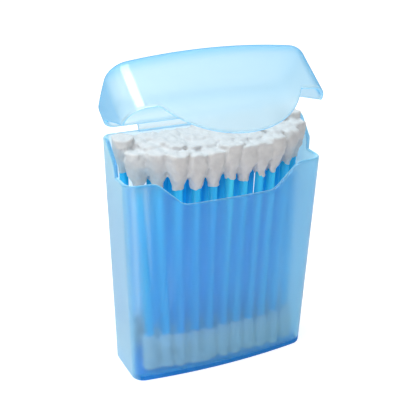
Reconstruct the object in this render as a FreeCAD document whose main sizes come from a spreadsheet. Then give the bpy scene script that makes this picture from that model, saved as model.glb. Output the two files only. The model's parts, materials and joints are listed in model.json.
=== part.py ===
import FreeCAD, Part
import math
import os
import random

import Sketcher

# Travel box of cotton swabs: a plastic box with a low notched front, the lid that is
# moulded in one with it and turns on a thin living hinge, and the swabs that stand in
# it. Millimetres, +Z up, +Y towards the hinged back. The origin is the middle of the
# flat base that the box stands on. The lid is drawn shut in a frame of its own, whose
# X axis is the bend line of the hinge, and is then turned open on it.

SIZES = {
    # box
    "back_height": 78.0,
    "rim_width": 67.3,
    "rim_depth": 21.7,
    "base_width": 61.4,
    "base_depth": 21.1,
    "front_bulge": 2.4,
    "box_front": 4.2,
    "box_back": 3.0,
    "wall": 1.2,
    "floor_thickness": 1.5,
    "base_round": 1.0,
    "core_round": 0.5,
    # rim: level at the back, falling along the sides, low at the front with a notch
    "slope_start": 4.6,
    "slope_run": 9.8,
    "slope_bend": 3.0,
    "shoulder_drop": 9.9,
    "notch_drop": 17.6,
    "notch_mouth": 48.0,
    "notch_floor": 31.0,
    "notch_bend": 5.0,
    # lid
    "lid_front": 7.0,
    "lid_back": 4.0,
    "lid_rise": 9.2,
    "lid_crown": 1.1,
    "lid_round": 2.8,
    "lid_proud": 1.5,
    "lid_narrow": 0.45,
    "lid_seam": 0.6,
    "lid_open": 57.0,
    "tongue_width": 46.0,
    "tongue_drop": 14.0,
    "tongue_slope": 55.0,
    "tongue_root": 1.6,
    # living hinge
    "hinge_gap": 1.6,
    "hinge_width": 43.0,
    "hinge_web": 0.4,
    "hinge_offset": 0.3,
    "hinge_split": 0.2,
    "hinge_root": 0.6,
    # swabs
    "swab_length": 73.0,
    "stick_diameter": 2.5,
    "stick_bore": 1.5,
    "tip_diameter": 4.6,
    "tip_neck": 3.0,
    "tip_length": 12.0,
    "tip_cap": 2.2,
    "tip_round": 1.9,
    "tip_shoulder": 5.0,
    "tip_bend": 8.0,
    "top_pitch": 5.4,
    "top_lean": 1.2,
    "foot_pitch": 4.8,
    "row_pitch": 4.3,
    "top_bow": 12.0,
    "swab_gap": 0.12,
    "wall_gap": 0.25,
    "swab_lift": 3.0,
    "swab_stray": 0.35,
    "row_1_swabs": 11,
    "row_2_swabs": 9,
    "row_3_swabs": 8,
    "row_4_swabs": 12,
}

doc = FreeCAD.newDocument("cotton_swab_holder")
sheet = doc.addObject("Spreadsheet::Sheet", "Sizes")
for line, (alias, number) in enumerate(SIZES.items(), start=1):
    sheet.set(f"A{line}", alias)
    sheet.set(f"B{line}", str(number))
    sheet.setAlias(f"B{line}", alias)
doc.recompute()

BASE_STEPS = 3
ROWS = 4
SETTLING_ROUNDS = 400
SEED = 7
EDGE_SLACK = 0.1

# Formulas that several sub-parts share.
BACK = "(Sizes.base_depth / 2)"
HINGE_Y = f"({BACK} + Sizes.hinge_offset)"
HINGE_Z = "(Sizes.back_height + Sizes.hinge_gap / 2)"
SHOULDER = "(Sizes.back_height - Sizes.shoulder_drop)"
SLOPE_TAN = "(Sizes.shoulder_drop / Sizes.slope_run)"
LID_WIDTH = "(Sizes.rim_width - 2 * Sizes.lid_narrow)"
LID_DEPTH = "(Sizes.rim_depth + Sizes.lid_proud)"


def size(formula):
    """Value of a formula in the sheet's aliases."""
    return float(sheet.evalExpression(formula))


def drive(sketch, kind, where, formula):
    """Add a sized constraint to a sketch and bind it to a formula."""
    number = sketch.addConstraint(Sketcher.Constraint(kind, *where, size(formula)))
    sketch.setExpression(f"Constraints[{number}]", formula)


def drive_point(sketch, where, x_formula, y_formula):
    """Hold a sketch point at the given coordinates, on an axis where one is zero."""
    for kind, formula, axis in (("DistanceX", x_formula, -2), ("DistanceY", y_formula, -1)):
        if size(formula) == 0:
            sketch.addConstraint(Sketcher.Constraint("PointOnObject", *where, axis))
        else:
            drive(sketch, kind, (-1, 1, *where), formula)


def new_sketch(owner, name, plane, level="0"):
    """Empty sketch on an origin plane of a body, or on that plane of the document."""
    if owner is doc:
        sketch = doc.addObject("Sketcher::SketchObject", name)
        turns = {"XZ_Plane": FreeCAD.Rotation(FreeCAD.Vector(1, 0, 0), 90)}
        sketch.Placement = FreeCAD.Placement(FreeCAD.Vector(), turns[plane])
        return sketch
    sketch = owner.newObject("Sketcher::SketchObject", name)
    planes = {feature.Role: feature for feature in owner.Origin.OriginFeatures}
    sketch.AttachmentSupport = (planes[plane], [""])
    sketch.MapMode = "FlatFace"
    sketch.setExpression(".AttachmentOffset.Base.z", level)
    return sketch


def bent_outline(owner, name, plane, corners):
    """Closed outline of straight runs through the corners.

    Each corner is (x formula, y formula, bend radius formula or None). The construction
    points at the corners carry the sizes, and an arc tangent to both runs turns a bend.
    """
    sketch = new_sketch(owner, name, plane)
    count = len(corners)
    spots = [FreeCAD.Vector(size(x), size(y), 0) for x, y, _ in corners]
    trims, arcs = [], []
    for index, (_, _, bend) in enumerate(corners):
        here, before, after = spots[index], spots[index - 1], spots[(index + 1) % count]
        if bend is None:
            trims.append((here, here))
            arcs.append(None)
            continue
        back, ahead = (before - here).normalize(), (after - here).normalize()
        half_angle = back.getAngle(ahead) / 2
        radius = size(bend)
        start = here + back * (radius / math.tan(half_angle))
        end = here + ahead * (radius / math.tan(half_angle))
        middle = here + (back + ahead).normalize() * (radius / math.sin(half_angle))
        waist = middle + (here - middle).normalize() * radius
        trims.append((start, end))
        arcs.append(Part.Arc(start, waist, end))
    for index in range(count):
        sketch.addGeometry(Part.LineSegment(trims[index][1], trims[(index + 1) % count][0]))
    for index in range(count):
        run, into = index, (index - 1) % count
        if arcs[index] is None:
            sketch.addConstraint(Sketcher.Constraint("Coincident", into, 2, run, 1))
            drive_point(sketch, (run, 1), corners[index][0], corners[index][1])
            continue
        arc = sketch.addGeometry(arcs[index])
        point = sketch.addGeometry(Part.Point(spots[index]), True)
        ends = (1, 2)
        first = sketch.getPoint(arc, 1)
        if first.distanceToPoint(trims[index][0]) > first.distanceToPoint(trims[index][1]):
            ends = (2, 1)
        sketch.addConstraint(Sketcher.Constraint("Tangent", into, 2, arc, ends[0]))
        sketch.addConstraint(Sketcher.Constraint("Tangent", run, 1, arc, ends[1]))
        sketch.addConstraint(Sketcher.Constraint("PointOnObject", point, 1, into))
        sketch.addConstraint(Sketcher.Constraint("PointOnObject", point, 1, run))
        drive(sketch, "Radius", (arc,), corners[index][2])
        drive_point(sketch, (point, 1), corners[index][0], corners[index][1])
    return sketch


def plan_outline(owner, name, level, back, width, depth, corners, inset="0"):
    """Plan of the box or the lid: flat back, straight sides and a convex front arc.

    The outline is drawn for the outer face and moved inwards by the inset, so that the
    arcs of an outer and an inner face share their centres. The corners are named by the
    sub-part that they belong to.
    """
    sketch = new_sketch(owner, name, "XY_Plane", level)
    bulge = "Sizes.front_bulge"
    sweep = f"((({width} / 2) ^ 2 + {bulge} ^ 2) / (2 * {bulge}))"
    centre = f"({back} - {depth} + {sweep})"
    side = f"({width} / 2 - {inset})"
    rear = f"({back} - {inset})"
    radii = [f"({r} - {inset})" for r in (sweep, f"Sizes.{corners}_front", f"Sizes.{corners}_back")]

    x, y_rear, y_centre = size(side), size(rear), size(centre)
    r_arc, r_front, r_back = (size(formula) for formula in radii)
    front_y = y_centre - math.sqrt((r_arc - r_front) ** 2 - (x - r_front) ** 2)
    turn = math.atan2(front_y - y_centre, x - r_front)
    quarter = math.pi / 2

    def run(*ends):
        return sketch.addGeometry(Part.LineSegment(*(FreeCAD.Vector(*end) for end in ends)))

    def arc(x_middle, y_middle, radius, start, end):
        circle = Part.Circle(FreeCAD.Vector(x_middle, y_middle), FreeCAD.Vector(0, 0, 1), radius)
        return sketch.addGeometry(Part.ArcOfCircle(circle, start, end))

    right = run((x, front_y), (x, y_rear - r_back))
    back_right = arc(x - r_back, y_rear - r_back, r_back, 0, quarter)
    rear_run = run((x - r_back, y_rear), (r_back - x, y_rear))
    back_left = arc(r_back - x, y_rear - r_back, r_back, quarter, 2 * quarter)
    left = run((-x, y_rear - r_back), (-x, front_y))
    front_left = arc(r_front - x, front_y, r_front, 2 * quarter, 2 * quarter - turn)
    front = arc(0, y_centre, r_arc, -2 * quarter - turn, turn)
    front_right = arc(x - r_front, front_y, r_front, turn, 0)
    around = [right, back_right, rear_run, back_left, left, front_left, front, front_right]
    for here, following in zip(around, around[1:] + around[:1]):
        sketch.addConstraint(Sketcher.Constraint("Tangent", here, 2, following, 1))
    for kind, *where in (
        ("Horizontal", rear_run),
        ("Vertical", right),
        ("Vertical", left),
        ("Equal", back_right, back_left),
        ("Equal", front_right, front_left),
        ("PointOnObject", front, 3, -2),
    ):
        sketch.addConstraint(Sketcher.Constraint(kind, *where))
    for curve, formula in zip((front, front_right, back_right), radii):
        drive(sketch, "Radius", (curve,), formula)
    drive(sketch, "DistanceX", (-1, 1, right, 1), side)
    drive(sketch, "DistanceX", (left, 1, -1, 1), side)
    drive(sketch, "DistanceY", (-1, 1, rear_run, 1), rear)
    drive(sketch, "DistanceY", (-1, 1, front, 3), centre)
    return sketch


def feature(body, kind, name, **settings):
    """Add a feature to a body and set its properties; formulas are text."""
    item = body.newObject(kind, name)
    for key, setting in settings.items():
        if isinstance(setting, str) and "Sizes." in setting:
            item.setExpression(key, setting)
        else:
            setattr(item, key, setting)
    return item


def cut_across(body, name, outline, length, backwards=False, both_ways=True):
    """Pocket an outline out of a body, and make sure that it removes something."""
    doc.recompute()
    before = body.Shape.Volume
    pocket = feature(body, "PartDesign::Pocket", name, Profile=outline, Length=length)
    pocket.Midplane = both_ways
    pocket.Reversed = backwards
    doc.recompute()
    if not body.Shape.Volume < before - 1:
        raise ValueError(f"{name} removes nothing")


def round_edges(body, name, radius, chosen):
    """Fillet the edges of a body that the test picks out."""
    doc.recompute()
    base = body.Tip
    names = [f"Edge{i}" for i, edge in enumerate(base.Shape.Edges, start=1) if chosen(edge)]
    fillet = feature(body, "PartDesign::Fillet", name, Base=(base, names), Radius=radius)
    doc.recompute()
    return fillet


def hollow_out(body, name, core):
    """Cut another body out of this one."""
    cut = feature(body, "PartDesign::Boolean", name, Type="Cut")
    cut.setObjects([core])
    doc.recompute()


def tapered_block(name, inset, bottom, base_radius):
    """Solid between plans of the box, drawn in by the inset, from a height to the rim.

    Its base edge is rounded by a few plans that step in along a quarter circle.
    """
    body = doc.addObject("PartDesign::Body", name)
    levels = []
    for step in range(BASE_STEPS + 1):
        angle = f"(90 * {step} / {BASE_STEPS})"
        level = f"({bottom} + {base_radius} * (1 - cos({angle})))"
        step_in = f"({base_radius} * (1 - sin({angle})))"
        levels.append((level, step_in))
    levels.append(("Sizes.back_height", "0"))
    plans = []
    for step, (level, step_in) in enumerate(levels):
        share = f"({level} / Sizes.back_height)"
        width = f"(Sizes.base_width + (Sizes.rim_width - Sizes.base_width) * {share})"
        depth = f"(Sizes.base_depth + (Sizes.rim_depth - Sizes.base_depth) * {share})"
        drawn_in = f"({inset} + {step_in})"
        plan = plan_outline(body, f"{name}_plan_{step}", level, BACK, width, depth, "box", drawn_in)
        plans.append(plan)
    walls = feature(body, "PartDesign::AdditiveLoft", f"{name}_walls", Profile=plans[0], Ruled=True)
    walls.Sections = plans[1:]
    doc.recompute()
    return body


def hinge_lip(body, front, foot, head):
    """Thin strip of the hinge web along the back face of a shell."""
    feature(
        body,
        "PartDesign::AdditiveBox",
        f"{body.Name}_hinge_lip",
        Length="Sizes.hinge_width",
        Width="Sizes.hinge_web",
        Height=f"{head} - {foot}",
        **{
            ".Placement.Base.x": "-Sizes.hinge_width / 2",
            ".Placement.Base.y": front,
            ".Placement.Base.z": foot,
        },
    )


def make_container():
    """The open box: shell, falling side rims, notched front and half of the hinge."""
    body = tapered_block("container", "0", "0", "Sizes.base_round")
    core = tapered_block("container_core", "Sizes.wall", "Sizes.floor_thickness", "Sizes.core_round")
    hollow_out(body, "hollow", core)

    clear_y, clear_z = "(-2 * Sizes.rim_depth)", "(2 * Sizes.back_height)"
    top = "Sizes.back_height"
    slope_top = f"({BACK} - Sizes.slope_start)"
    slope_foot = f"({slope_top} - Sizes.slope_run)"
    rim_line = [
        (clear_y, SHOULDER, None),
        (slope_foot, SHOULDER, "Sizes.slope_bend"),
        (slope_top, top, "Sizes.slope_bend"),
        ("(2 * Sizes.rim_depth)", top, None),
        ("(2 * Sizes.rim_depth)", clear_z, None),
        (clear_y, clear_z, None),
    ]
    outline = bent_outline(body, "side_rim_line", "YZ_Plane", rim_line)
    cut_across(body, "side_rim", outline, "4 * Sizes.rim_width")

    notch = "(Sizes.back_height - Sizes.notch_drop)"
    notch_line = [
        ("(-Sizes.rim_width)", SHOULDER, None),
        ("(-Sizes.notch_mouth / 2)", SHOULDER, "Sizes.notch_bend"),
        ("(-Sizes.notch_floor / 2)", notch, "Sizes.notch_bend"),
        ("(Sizes.notch_floor / 2)", notch, "Sizes.notch_bend"),
        ("(Sizes.notch_mouth / 2)", SHOULDER, "Sizes.notch_bend"),
        ("Sizes.rim_width", SHOULDER, None),
        ("Sizes.rim_width", clear_z, None),
        ("(-Sizes.rim_width)", clear_z, None),
    ]
    outline = bent_outline(body, "notch_line", "XZ_Plane", notch_line)
    cut_across(body, "notch", outline, "Sizes.rim_depth", both_ways=False, backwards=True)

    lip_foot = f"({top} - Sizes.hinge_root)"
    lip_head = f"({HINGE_Z} - Sizes.hinge_split / 2)"
    hinge_lip(body, f"({BACK} - Sizes.hinge_web)", lip_foot, lip_head)
    return body


def crown_outline(body, name, half_span, peak):
    """Region above a shallow arc that peaks in the middle of the lid."""
    sketch = new_sketch(body, name, "XZ_Plane")
    sweep = f"({half_span} ^ 2 / (2 * Sizes.lid_crown))"
    reach = f"(2 * {half_span})"
    radius, y_peak, x_end = (size(formula) for formula in (sweep, peak, reach))
    y_end = y_peak - radius + math.sqrt(radius ** 2 - x_end ** 2)
    spots = [(x_end, y_end), (x_end, x_end), (-x_end, x_end), (-x_end, y_end)]
    spots = [FreeCAD.Vector(*spot) for spot in spots]
    for start, end in zip(spots, spots[1:]):
        sketch.addGeometry(Part.LineSegment(start, end))
    turn = math.asin(x_end / radius)
    circle = Part.Circle(FreeCAD.Vector(0, y_peak - radius), FreeCAD.Vector(0, 0, 1), radius)
    arc = sketch.addGeometry(Part.ArcOfCircle(circle, math.pi / 2 - turn, math.pi / 2 + turn))
    for pair in ((0, 2, 1, 1), (1, 2, 2, 1), (2, 2, arc, 2), (arc, 1, 0, 1)):
        sketch.addConstraint(Sketcher.Constraint("Coincident", *pair))
    for kind, line in (("Vertical", 0), ("Horizontal", 1), ("Vertical", 2)):
        sketch.addConstraint(Sketcher.Constraint(kind, line))
    drive(sketch, "Radius", (arc,), sweep)
    drive_point(sketch, (arc, 3), "0", f"({peak} - {sweep})")
    drive_point(sketch, (1, 1), reach, reach)
    drive(sketch, "DistanceX", (1, 2, -1, 1), reach)
    return sketch


def capped_block(name, inset, bottom):
    """Crowned and rounded block of the lid, drawn in by the inset, in the hinge's frame."""
    body = doc.addObject("PartDesign::Body", name)
    rear, width, depth = "(-Sizes.hinge_offset)", LID_WIDTH, LID_DEPTH
    outline = plan_outline(body, f"{name}_plan", bottom, rear, width, depth, "lid", inset)
    length = f"(Sizes.lid_rise + 1) - {bottom}"
    feature(body, "PartDesign::Pad", f"{name}_pad", Profile=outline, Length=length)

    peak = f"(Sizes.lid_rise - {inset})"
    crown = crown_outline(body, f"{name}_crown_line", f"({width} / 2)", peak)
    cut_across(body, f"{name}_crown", crown, f"4 * {depth}")
    low = size(f"{peak} - Sizes.lid_crown") - EDGE_SLACK
    round_edges(body, f"{name}_rounding", f"Sizes.lid_round - {inset}", lambda edge: edge.BoundBox.ZMin > low)
    return body


def make_lid():
    """The lid: crowned shell, skirt that meets the box rim, tongue, other half of the hinge."""
    edge = "(Sizes.hinge_gap / 2)"
    rim = "(-Sizes.hinge_gap / 2)"
    skirt = f"({rim} - Sizes.shoulder_drop + Sizes.lid_seam)"
    below = f"({skirt} - Sizes.tongue_drop - 1)"
    body = capped_block("lid", "0", below)
    core = capped_block("lid_core", "Sizes.wall", f"({below} - 1)")
    hollow_out(body, "hollow_of_lid", core)

    apart = f"(Sizes.lid_seam * sqrt(1 + {SLOPE_TAN} ^ 2))"
    slope_top = "(-Sizes.hinge_offset - Sizes.slope_start)"
    slope_foot = f"({slope_top} - Sizes.slope_run)"
    turn_top = f"({slope_top} + ({edge} - {rim} - {apart}) / {SLOPE_TAN})"
    turn_foot = f"({slope_foot} - ({apart} - Sizes.lid_seam) / {SLOPE_TAN})"
    behind = "Sizes.rim_depth"
    edge_line = [
        (behind, edge, None),
        (turn_top, edge, "Sizes.slope_bend"),
        (turn_foot, skirt, "Sizes.slope_bend"),
        (f"({turn_foot} - Sizes.slope_bend)", skirt, None),
        (f"({turn_foot} - Sizes.slope_bend)", f"(2 * {below})", None),
        (behind, f"(2 * {below})", None),
    ]
    outline = bent_outline(body, "lid_side_line", "YZ_Plane", edge_line)
    cut_across(body, "lid_side_edge", outline, "4 * Sizes.rim_width")

    half = "(Sizes.tongue_width / 2)"
    slope_drop = f"({half} * tan(Sizes.tongue_slope))"
    bend = f"(({slope_drop} - Sizes.tongue_drop) / (1 / cos(Sizes.tongue_slope) - 1))"
    tongue_line = [
        ("(-Sizes.rim_width)", skirt, None),
        (f"(-{half})", skirt, "Sizes.tongue_root"),
        ("0", f"({skirt} - {slope_drop})", bend),
        (half, skirt, "Sizes.tongue_root"),
        ("Sizes.rim_width", skirt, None),
        ("Sizes.rim_width", "(-2 * Sizes.rim_width)", None),
        ("(-Sizes.rim_width)", "(-2 * Sizes.rim_width)", None),
    ]
    outline = bent_outline(body, "tongue_line", "XZ_Plane", tongue_line)
    outline.setExpression(".AttachmentOffset.Base.z", f"-{slope_foot}")
    cut_across(body, "lid_front_edge", outline, "Sizes.rim_depth", both_ways=False, backwards=True)

    lip_front = "(-Sizes.hinge_offset - Sizes.hinge_web)"
    hinge_lip(body, lip_front, "(Sizes.hinge_split / 2)", f"({edge} + Sizes.hinge_root)")

    opened = FreeCAD.Rotation(FreeCAD.Vector(-1, 0, 0), size("Sizes.lid_open"))
    body.Placement = FreeCAD.Placement(FreeCAD.Vector(), opened)
    body.setExpression(".Placement.Base.y", HINGE_Y)
    body.setExpression(".Placement.Base.z", HINGE_Z)
    body.setExpression(".Placement.Rotation.Angle", "Sizes.lid_open")
    return body


def inner_limits(height):
    """Reach of a swab's axis inside the box at a height: side, rear, front arc."""
    share = height / size("Sizes.back_height")
    width = size("Sizes.base_width") + size("Sizes.rim_width - Sizes.base_width") * share
    depth = size("Sizes.base_depth") + size("Sizes.rim_depth - Sizes.base_depth") * share
    bulge = size("Sizes.front_bulge")
    keep = size("Sizes.wall + Sizes.wall_gap + Sizes.tip_diameter / 2")
    sweep = ((width / 2) ** 2 + bulge ** 2) / (2 * bulge)
    centre = size(BACK) - depth + sweep
    return width / 2 - keep, size(BACK) - keep, centre, sweep - keep


def settled(spots, limits):
    """Push swab axes apart until no tips touch each other or the walls."""
    side, rear, centre, sweep = limits
    apart = size("Sizes.tip_diameter + Sizes.swab_gap")
    spots = [list(spot) for spot in spots]
    for _ in range(SETTLING_ROUNDS):
        for index, here in enumerate(spots):
            for there in spots[index + 1:]:
                dx, dy = there[0] - here[0], there[1] - here[1]
                distance = math.hypot(dx, dy)
                if distance < apart:
                    push = (apart - distance) / 2 / max(distance, 1e-6)
                    here[0], here[1] = here[0] - dx * push, here[1] - dy * push
                    there[0], there[1] = there[0] + dx * push, there[1] + dy * push
        for spot in spots:
            spot[0] = min(max(spot[0], -side), side)
            reach = math.hypot(spot[0], spot[1] - centre)
            if reach > sweep:
                spot[0] *= sweep / reach
                spot[1] = centre + (spot[1] - centre) * sweep / reach
            spot[1] = min(spot[1], rear)
    return spots


def swab_stands():
    """Rows of swabs as (row, foot point, top point), front row first.

    The feet stand in straight rows. The tops lean apart and a little to one side, and the
    further forward a row is, the more its ends lean back round the corners of the box.
    The swabs are a little untidy, and the further back a row is, the higher it stands.
    """
    chance = random.Random(SEED)
    foot_z = size("Sizes.floor_thickness + Sizes.wall_gap")
    top_z = foot_z + size("Sizes.swab_length")
    half_width, stray = size("Sizes.base_width / 2"), size("Sizes.swab_stray")
    foot_layout = (size("Sizes.foot_pitch"), 0, 0)
    top_layout = (size("Sizes.top_pitch"), size("Sizes.top_lean"), size("Sizes.top_bow"))
    owners, feet, tops = [], [], []
    for row in range(ROWS):
        count = int(size(f"Sizes.row_{row + 1}_swabs"))
        along = (row - (ROWS - 1) / 2) * size("Sizes.row_pitch")
        forward = 1 - row / (ROWS - 1)
        for place in range(count):
            for spots, (pitch, lean, bow) in ((feet, foot_layout), (tops, top_layout)):
                x = lean + (place - (count - 1) / 2) * pitch + chance.uniform(-stray, stray)
                y = along + chance.uniform(-stray, stray)
                spots.append((x, y + bow * forward * (x / half_width) ** 2))
            owners.append(row)
    feet = settled(feet, inner_limits(foot_z))
    tops = settled(tops, inner_limits(top_z - size("Sizes.tip_shoulder")))
    stands = []
    for row, foot, top in zip(owners, feet, tops):
        rise = size("Sizes.swab_lift") * (row + chance.random()) / ROWS
        stands.append((row, FreeCAD.Vector(*foot, foot_z + rise), FreeCAD.Vector(*top, top_z + rise)))
    return stands


def make_swabs():
    """Every swab: a plastic tube and a cotton tip wound on each end of it."""
    tip_radius, neck_radius = "(Sizes.tip_diameter / 2)", "(Sizes.tip_neck / 2)"
    stick_radius = "(Sizes.stick_diameter / 2)"
    tip_section = bent_outline(
        doc,
        "tip_section",
        "XZ_Plane",
        [
            ("0", "0", None),
            (tip_radius, "0", "Sizes.tip_round"),
            (tip_radius, "Sizes.tip_shoulder", "Sizes.tip_bend"),
            (neck_radius, "Sizes.tip_length", None),
            (stick_radius, "Sizes.tip_length", None),
            (stick_radius, "Sizes.tip_cap", None),
            ("0", "Sizes.tip_cap", None),
        ],
    )
    stick_end = "(Sizes.swab_length - Sizes.tip_cap)"
    stick_section = bent_outline(
        doc,
        "stick_section",
        "XZ_Plane",
        [
            ("Sizes.stick_bore / 2", "Sizes.tip_cap", None),
            (stick_radius, "Sizes.tip_cap", None),
            (stick_radius, stick_end, None),
            ("Sizes.stick_bore / 2", stick_end, None),
        ],
    )

    def turned(name, section, placement):
        solid = doc.addObject("Part::Revolution", name)
        solid.Source = section
        solid.Axis = FreeCAD.Vector(0, 0, 1)
        solid.Angle = 360
        solid.Solid = True
        solid.Placement = placement
        return solid

    sticks, rows = [], {}
    flip = FreeCAD.Placement(
        FreeCAD.Vector(0, 0, size("Sizes.swab_length")), FreeCAD.Rotation(FreeCAD.Vector(1, 0, 0), 180)
    )
    for number, (row, foot, top) in enumerate(swab_stands(), start=1):
        lean = FreeCAD.Rotation(FreeCAD.Vector(0, 0, 1), top - foot)
        placement = FreeCAD.Placement(foot, lean)
        sticks.append(turned(f"stick_{number:02d}", stick_section, placement))
        ends = rows.setdefault(row + 1, ([], []))
        ends[0].append(turned(f"foot_tip_{number:02d}", tip_section, placement))
        ends[1].append(turned(f"top_tip_{number:02d}", tip_section, placement * flip))
    groups = []
    for row, ends in rows.items():
        for place, tips in zip(("feet", "tops"), ends):
            group = doc.addObject("Part::Compound", f"cotton_{place}_row_{row}")
            group.Links = tips
            groups.append(group)
    return sticks + groups


def export(pieces):
    """Check the whole document, then write one file for each piece."""
    doc.recompute()
    for item in doc.Objects:
        if "Invalid" in item.State or "Error" in item.State:
            raise ValueError(f"{item.Name} failed: {item.State}")
    for piece in pieces:
        if piece.Shape.isNull() or not piece.Shape.isValid():
            raise ValueError(f"{piece.Label} has no valid shape")
    os.makedirs("parts", exist_ok=True)
    for piece in pieces:
        piece.Shape.exportStep(f"parts/{piece.Label}.step")
        print(f"{piece.Label}: {len(piece.Shape.Solids)} solids, {piece.Shape.Volume:.1f} mm3")


export([make_container(), make_lid(), *make_swabs()])
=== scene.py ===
"""Travel box of cotton swabs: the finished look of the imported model.

The box, its lid and the living hinge between them are drawn as rounded mouldings in
translucent polypropylene. The swabs are grown by Geometry Nodes on the axes of the
packed stems. Lengths are written in millimetres and built in metres.
"""

import json
import logging
import math
from dataclasses import dataclass, replace
from enum import Enum

import bpy
import numpy as np
from mathutils import Matrix, Quaternion, Vector


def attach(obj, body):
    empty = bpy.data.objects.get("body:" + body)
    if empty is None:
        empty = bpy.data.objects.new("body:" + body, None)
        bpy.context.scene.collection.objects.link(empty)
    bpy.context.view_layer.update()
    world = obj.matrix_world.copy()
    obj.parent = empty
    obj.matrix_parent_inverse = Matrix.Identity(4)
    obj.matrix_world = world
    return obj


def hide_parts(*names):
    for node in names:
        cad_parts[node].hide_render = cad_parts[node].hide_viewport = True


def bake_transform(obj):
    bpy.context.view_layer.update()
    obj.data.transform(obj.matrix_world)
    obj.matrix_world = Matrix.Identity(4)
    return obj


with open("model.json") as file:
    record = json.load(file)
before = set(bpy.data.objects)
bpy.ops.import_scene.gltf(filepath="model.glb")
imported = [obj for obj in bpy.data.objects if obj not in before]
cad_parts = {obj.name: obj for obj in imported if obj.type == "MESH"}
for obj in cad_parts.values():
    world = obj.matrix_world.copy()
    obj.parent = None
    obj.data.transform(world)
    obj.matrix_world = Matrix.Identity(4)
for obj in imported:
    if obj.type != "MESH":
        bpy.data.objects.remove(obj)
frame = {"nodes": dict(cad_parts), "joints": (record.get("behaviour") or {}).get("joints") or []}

LOG = logging.getLogger("swab_holder")
MM = 0.001
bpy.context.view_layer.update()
FAR = 60.0  # mm, past every side of the part


class Body(str, Enum):
    """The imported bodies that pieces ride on."""

    CASE = "case"
    LID = "lid"


class Slot(str, Enum):
    """Material slots of the record."""

    BOX = "clear_blue_plastic"
    LID = "lid_plastic"
    STEM = "stick_plastic"
    COTTON = "cotton"


def linear(hex_colour: str) -> tuple[float, float, float, float]:
    """Linear colour of an sRGB hex value.

    Args:
        hex_colour: Six hex digits, with or without a leading #.

    Returns:
        Red, green, blue and an alpha of 1.
    """
    digits = hex_colour.lstrip("#")
    parts = [int(digits[i : i + 2], 16) / 255 for i in (0, 2, 4)]
    red, green, blue = (c / 12.92 if c <= 0.04045 else ((c + 0.055) / 1.055) ** 2.4 for c in parts)
    return red, green, blue, 1.0


def add_node(
    tree: bpy.types.NodeTree, kind: str, links: dict | None = None, **settings: object
) -> bpy.types.Node:
    """Add a node, set it and link its inputs.

    Args:
        tree: The tree to add to.
        kind: The node's type name.
        links: Input name or number to a node (its first output), a socket or a plain value.
        **settings: Properties of the node.

    Returns:
        The new node.
    """
    node = tree.nodes.new(kind)
    for key, value in settings.items():
        setattr(node, key, value)
    for key, value in (links or {}).items():
        value = value.outputs[0] if isinstance(value, bpy.types.Node) else value
        if isinstance(value, bpy.types.NodeSocket):
            tree.links.new(value, node.inputs[key])
        else:
            node.inputs[key].default_value = value
    return node


def new_material(name: str) -> tuple[bpy.types.Material, bpy.types.NodeTree, bpy.types.Node]:
    """An empty material with its output node.

    Args:
        name: Name of the material.

    Returns:
        The material, its tree and the output node.
    """
    material = bpy.data.materials.new(name)
    material.use_nodes = True
    tree = material.node_tree
    tree.nodes.clear()
    return material, tree, add_node(tree, "ShaderNodeOutputMaterial")


def see_through(
    tree: bpy.types.NodeTree, surface: bpy.types.Node, tint: str, output: bpy.types.Node
) -> None:
    """Let light for shadows and for soft bounces pass a surface with a plain tint.

    Args:
        tree: The material's tree.
        surface: Shader that every other ray meets.
        tint: Colour of the light that passes.
        output: The material's output.
    """
    clear = add_node(tree, "ShaderNodeBsdfTransparent", {"Color": linear(tint)})
    path = add_node(tree, "ShaderNodeLightPath")
    last = surface
    for ray in ("Is Shadow Ray", "Is Diffuse Ray"):
        last = add_node(tree, "ShaderNodeMixShader", {0: path.outputs[ray], 1: last, 2: clear})
    tree.links.new(last.outputs[0], output.inputs["Surface"])


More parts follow.
